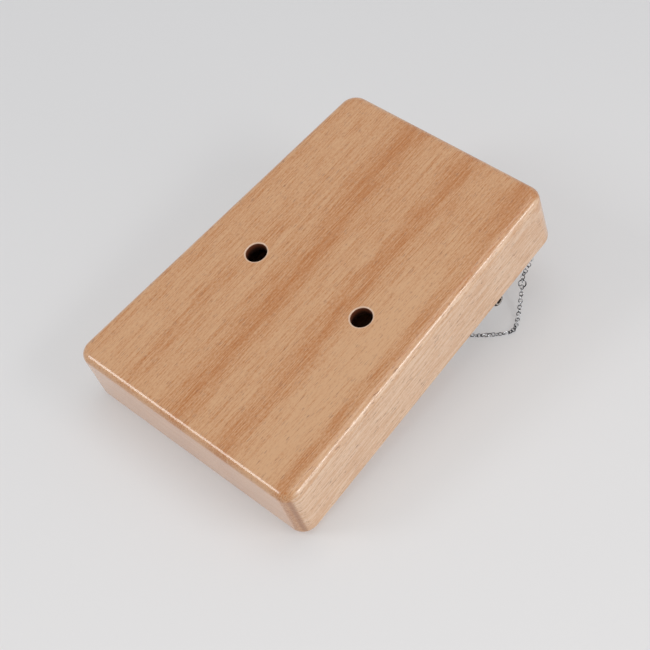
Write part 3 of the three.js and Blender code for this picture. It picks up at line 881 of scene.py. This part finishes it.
for number in range(1, 5):
    x, y, _ = middle_of(f"bar_stud_{number}")
    low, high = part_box(f"bar_stud_{number}")
    crest, root = stud_radius, stud_radius - thread_depth
    profile = [(low.z, root - stud_end), (low.z + stud_end, root)]
    turns = int((thread_foot - low.z) / thread_pitch) - 1
    for i in range(turns):
        start = low.z + stud_end + i * thread_pitch
        profile += [(start + thread_rises, crest), (start + thread_flat, crest),
                    (start + thread_falls, root)]
    profile += [(high.z - stud_end, root), (high.z, root - stud_end)]
    put_in_place(turned(x, y, profile, 20), f"threaded_stud_{number}", f"bar_stud_{number}",
                 plate)

    low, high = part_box(f"bar_washer_{number}")
    outer = washer_radius
    washer = turned(x, y, [(low.z, outer - washer_edge), (low.z + washer_edge, outer),
                           (high.z - washer_edge, outer), (high.z, outer - washer_edge)], 64)
    cut(washer, [drilled(x, y, low.z - beyond, high.z + beyond, stud_hole_width)])
    put_in_place(washer, f"flat_washer_{number}", f"bar_washer_{number}", plate)

    low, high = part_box(f"dome_nut_{number}")
    hex_radius = nut_across_flats / 2 / math.cos(math.pi / 6)
    shoulder = high.z - nut_hex_height
    nut = turned(x, y, [(high.z, hex_radius), (shoulder, hex_radius)], 6)
    clear = hex_radius * 1.05
    cone = turned(x, y, [(high.z + beyond, hex_radius * 1.2), (high.z, hex_radius * 0.965),
                         (high.z - nut_foot_cut, clear), (shoulder + nut_top_cut, clear),
                         (shoulder, hex_radius * 0.88), (shoulder - beyond, hex_radius * 0.5)], 64)
    cut(nut, [cone], "INTERSECT")
    crown = low.z + dome_radius
    profile = [(high.z - nut_hex_height / 2, dome_radius), (crown, dome_radius)]
    for step in range(1, dome_steps):
        angle = math.pi / 2 * step / dome_steps
        profile.append((crown - dome_radius * math.sin(angle), dome_radius * math.cos(angle)))
    profile.append((low.z, dome_radius * 0.02))
    cut(nut, [turned(x, y, profile, 48)], "UNION")
    finish_with(nut, "BEVEL", width=nut_edge, segments=2, limit_method="ANGLE",
                angle_limit=math.radians(25))
    cut(nut, [drilled(x, y, high.z + beyond, low.z + nut_bore_end, stud_hole_width)])
    put_in_place(nut, f"acorn_nut_{number}", f"dome_nut_{number}", plate)

# Tines
# Seventeen keys of flat spring steel, each forged wide and bent up at the tip. The longest lies in
# the middle, and they get shorter outwards. They rest on the two rods under the clamp bar.
notes = ["c4", "d4", "e4", "f4", "g4", "a4", "b4", "c5", "d5", "e5", "f5", "g5", "a5", "b5",
         "c6", "d6", "e6"]
tine_width = 0.0029
tip_width = 0.005
tip_taper = 0.007
tine_thickness = 0.0011
tine_gap = 0.0003
tine_corner = 0.00028
bar_dip = 0.0014
rise = 0.014
tip_bend = 0.0005
tip_bend_length = 0.009
narrowest = 0.0006
tip_left = 0.00001
pick_margin = 0.0001
under_saddle = front - (saddle.z - saddle_radius) + tine_gap
under_stop = front - (stop.z - stop_radius) + tine_gap
under_bar = under_saddle - bar_dip
longest_low, longest_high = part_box("tine_c4")
longest = saddle.y - longest_low.y


def eased_share(t):
    return t * t * (3 - 2 * t)


def underside(y):
    """Height of the longest tine's underside over the soundboard."""
    if y >= stop.y:
        return under_stop
    if y >= bar_middle.y:
        share = (y - bar_middle.y) / (stop.y - bar_middle.y)
        return under_bar + (under_stop - under_bar) * eased_share(share)
    if y >= saddle.y:
        return under_saddle - bar_dip * eased_share((y - saddle.y) / (bar_middle.y - saddle.y))
    out = saddle.y - y
    bent = max(0, out - (longest - tip_bend_length)) / tip_bend_length
    return under_saddle + rise * out + tip_bend * bent ** 2


def width_at(y):
    from_tip = y - longest_low.y
    round_end = tip_width / 2
    if from_tip < round_end:
        return 2 * math.sqrt(round_end ** 2 - (round_end - from_tip) ** 2)
    share = min((from_tip - round_end) / tip_taper, 1)
    return tip_width + (tine_width - tip_width) * eased_share(share)


def model_longest_tine():
    """The middle tine, drawn from its tail to its tip from a small rounded section."""
    tail = longest_high.y
    bpy.ops.object.select_all(action="DESELECT")
    bpy.ops.mesh.primitive_plane_add(size=1, rotation=(math.pi / 2, 0, 0))
    bpy.ops.object.transform_apply()
    tine = bpy.context.object
    middle = front - underside(tail) - tine_thickness / 2
    bpy.ops.object.mode_set(mode="EDIT")
    bpy.ops.mesh.select_all(action="SELECT")
    bpy.ops.transform.resize(value=(tine_width, 1, tine_thickness))
    bpy.ops.transform.translate(value=(0, tail, middle))
    bpy.ops.mesh.bevel(offset=tine_corner, segments=3, affect="VERTICES", clamp_overlap=False)
    bpy.ops.mesh.select_all(action="SELECT")
    tapers = [saddle.y + (stop.y - saddle.y) * i / 16 for i in range(16, -1, -1)]
    tip_start = longest_low.y + tip_width / 2 + tip_taper
    bends = [tip_start - tip_taper * i / 8 for i in range(9)]
    ends = [longest_low.y + tip_width / 2 * (1 - math.sin(math.pi / 2 * i / 10))
            for i in range(1, 10)]
    y, width = tail, tine_width
    for next_y in [*tapers, *bends, *ends, longest_low.y + tip_left]:
        next_middle = front - underside(next_y) - tine_thickness / 2
        bpy.ops.mesh.extrude_region_move(
            TRANSFORM_OT_translate={"value": (0, next_y - y, next_middle - middle)})
        share = max(width_at(next_y), narrowest) / width
        bpy.ops.transform.resize(value=(share, 1, 1), center_override=(0, next_y, next_middle))
        y, middle, width = next_y, next_middle, width * share
    bpy.ops.mesh.select_all(action="SELECT")
    bpy.ops.mesh.normals_make_consistent(inside=False)
    bpy.ops.object.mode_set(mode="OBJECT")
    return tine


def spring_steel():
    """Ground and polished lengthwise, with duller, darker patches."""
    finish = Finish("spring_steel", {"Metallic": 1.0})
    grind = finish.noise((0.00016, 0.02, 0.0004), 3, 6.0)
    dull = finish.noise((0.003, 0.012, 0.003), 3, 15.0).between(0.4, 0.7)
    colour = finish.mix(dull, ink(206, 207, 210), ink(172, 172, 174))
    finish.feed(Base_Color=colour, Roughness=grind * 0.22 + dull * 0.12 + 0.12,
                Normal=finish.bump(grind, 0.000015, 0.6))
    return finish


steel = spring_steel()
longest_tine = model_longest_tine()
for note in notes:
    tine = longest_tine.copy()
    tine.data = longest_tine.data.copy()
    bpy.context.collection.objects.link(tine)
    bpy.ops.object.select_all(action="DESELECT")
    tine.select_set(True)
    bpy.context.view_layer.objects.active = tine
    low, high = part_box(f"tine_{note}")
    shorter = low.y - longest_low.y
    bpy.ops.object.mode_set(mode="EDIT")
    pick("verts", lambda v: v.co.y < longest_low.y + tip_width / 2 + tip_taper + pick_margin)
    bpy.ops.transform.translate(value=(0, shorter, shorter * rise))
    bpy.ops.mesh.select_all(action="SELECT")
    bpy.ops.transform.translate(value=((low.x + high.x) / 2, 0, 0))
    bpy.ops.object.mode_set(mode="OBJECT")
    wear(tine, steel)
    clean_shading(tine, 40)
    tine.name = tine.data.name = f"steel_{note}"
    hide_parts(f"tine_{note}")
    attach(tine, f"tine_{note}")
bpy.data.objects.remove(longest_tine)

# Screw eyes
# Plated steel wire bent into a ring on a pointed screw. One on each side of the bridge goes through
# the soundboard into the wooden ledge, and holds an end of the chain.
eye_wire = 0.0016
eye_ring_radius = 0.0026
eye_shank_radius = 0.0011
eye_thread = 0.0009
eye_neck = 0.0008
eye_thread_from = 0.0012
eye_point = 0.0025
point_blunt, point_radius = 0.00002, 0.00012

for side, node in (("right", "screw_eye_right"), ("left", "screw_eye_left")):
    low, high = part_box(node)
    x, y = (low.x + high.x) / 2, (low.y + high.y) / 2
    ring_z = low.z + eye_ring_radius + eye_wire / 2
    bpy.ops.object.select_all(action="DESELECT")
    bpy.ops.mesh.primitive_torus_add(location=(x, y, ring_z), rotation=(math.pi / 2, 0, 0),
                                     major_radius=eye_ring_radius, minor_radius=eye_wire / 2,
                                     major_segments=56, minor_segments=20)
    bpy.ops.object.transform_apply()
    eye = bpy.context.object
    core = eye_shank_radius * 0.8
    plain = eye_shank_radius * 0.94
    profile = [(ring_z + eye_ring_radius, eye_wire * 0.45),
               (ring_z + eye_ring_radius + eye_neck, plain), (front + eye_thread_from, plain)]
    turns = int((high.z - eye_point - front - eye_thread_from) / eye_thread)
    for i in range(turns):
        start = front + eye_thread_from + i * eye_thread
        profile += [(start + 0.25 * eye_thread, core), (start + 0.7 * eye_thread, core),
                    (start + 0.92 * eye_thread, eye_shank_radius)]
    profile += [(high.z - eye_point, core), (high.z - point_blunt, point_radius)]
    cut(eye, [turned(x, y, profile, 24)], "UNION")
    put_in_place(eye, f"eye_screw_{side}", node, plate)

# Table and light
# A plain pale table that the instrument leans on, from its near edge to its dome nuts. Soft boxes
# stand over it, at its sides and under it, in even light all round.
nuts_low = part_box("dome_nut_1")[0]
table_tilt = math.atan((front - nuts_low.z) / (bar_middle.y - near_end))
table_size = 5
table_finish = Finish("table_paper", {"Roughness": 0.62, "Specular IOR Level": 0.25})
x, y = table_finish.axes()
# Painted light: the paper is painted lighter towards the camera's side
painted_light_toward_camera = (x * 0.72 - y * 0.69).between(-0.34, 0.34)
paper = table_finish.noise((0.3, 0.3, 0.3), 2) - 0.5
paper_and_painted_light = table_finish.mix(painted_light_toward_camera + paper * 0.1, ink(220, 220, 221),
                                ink(234, 233, 233))
table_finish.feed(Base_Color=paper_and_painted_light)

# Part of the paper's brightness is its own, which keeps the shadows on it as soft as a studio's
own_light = 0.37
own_strength = 0.93
glow = table_finish.node("ShaderNodeEmission", {},
                         {"Color": paper_and_painted_light, "Strength": own_strength})
camera_ray, glossy_ray, through_ray, shadow_ray = (
    table_finish.node("ShaderNodeLightPath", {}, {}, f"Is {kind} Ray")
    for kind in ("Camera", "Glossy", "Transmission", "Shadow"))
straight_or_mirrored = camera_ray.maths("MAXIMUM", camera_ray, glossy_ray)
seen_ray = camera_ray.maths("MAXIMUM", straight_or_mirrored, through_ray)
lit = table_finish.node("ShaderNodeMixShader", {},
                        {0: seen_ray * own_light, 1: table_finish.shader, 2: glow})
see_through = table_finish.node("ShaderNodeBsdfTransparent", {}, {})
behind = table_finish.node("ShaderNodeNewGeometry", {}, {}, "Backfacing")
unseen_ray = behind.maths("MAXIMUM", behind, shadow_ray)
one_sided = table_finish.node("ShaderNodeMixShader", {}, {0: unseen_ray, 1: lit, 2: see_through})
table_output = next(n for n in table_finish.tree.nodes if n.type == "OUTPUT_MATERIAL")
table_finish.tree.links.new(one_sided.socket, table_output.inputs["Surface"])

bpy.ops.object.select_all(action="DESELECT")
bpy.ops.mesh.primitive_plane_add(size=table_size, location=(0, near_end, front),
                                 rotation=(-table_tilt, 0, 0))
table = bpy.context.object
table.name = "table"
bpy.ops.object.transform_apply()
wear(table, table_finish)

world = bpy.data.worlds.new("even_light")
bpy.context.scene.world = world
world.use_nodes = True
sky = world.node_tree
sky.nodes.clear()
rays = sky.nodes.new("ShaderNodeLightPath")
blend = sky.nodes.new("ShaderNodeMixShader")
out = sky.nodes.new("ShaderNodeOutputWorld")
either, any_of = sky.nodes.new("ShaderNodeMath"), sky.nodes.new("ShaderNodeMath")
either.operation = any_of.operation = "MAXIMUM"
# The first lights the instrument, and the second is the backdrop that the camera sees
for slot, colour, strength in ((1, ink(250, 250, 251), 0.53), (2, ink(216, 217, 218), 1)):
    backdrop = sky.nodes.new("ShaderNodeBackground")
    backdrop.inputs["Color"].default_value = (*colour, 1)
    backdrop.inputs["Strength"].default_value = strength
    sky.links.new(backdrop.outputs[0], blend.inputs[slot])
for start, end in ((rays.outputs["Is Camera Ray"], either.inputs[0]),
                   (rays.outputs["Is Glossy Ray"], either.inputs[1]),
                   (either.outputs[0], any_of.inputs[0]),
                   (rays.outputs["Is Transmission Ray"], any_of.inputs[1]),
                   (any_of.outputs[0], blend.inputs[0]),
                   (blend.outputs[0], out.inputs["Surface"])):
    sky.links.new(start, end)


def soft_box(name, direction, distance, size, power, roll=0):
    """A rectangular lamp that faces the instrument. Size is in metres, power in watts."""
    place = Vector(direction).normalized() * distance
    bpy.ops.object.light_add(type="AREA", location=place)
    lamp = bpy.context.object
    lamp.name = name
    lamp.data.shape = "RECTANGLE"
    lamp.data.size, lamp.data.size_y = size
    lamp.data.energy = power
    lamp.matrix_world = Matrix.Translation(place) @ facing(place.normalized(), math.radians(roll))


soft_box("key_light", (-0.508, -0.518, 0.689), 1.66, (0.5, 0.6), 5.6, roll=34)
soft_box("top_light", (-0.05, 0.325, 0.943), 1.6, (1.1, 1.1), 4.2)
soft_box("edge_light", (0.76, 0.30, 0.55), 1.7, (0.8, 0.28), 5.0)
soft_box("right_light", (0.93, 0.22, 0.30), 1.7, (1.1, 1.1), 5.0)
soft_box("under_light", (0.1, -0.2, -1.0), 1.2, (1.2, 1.2), 6)
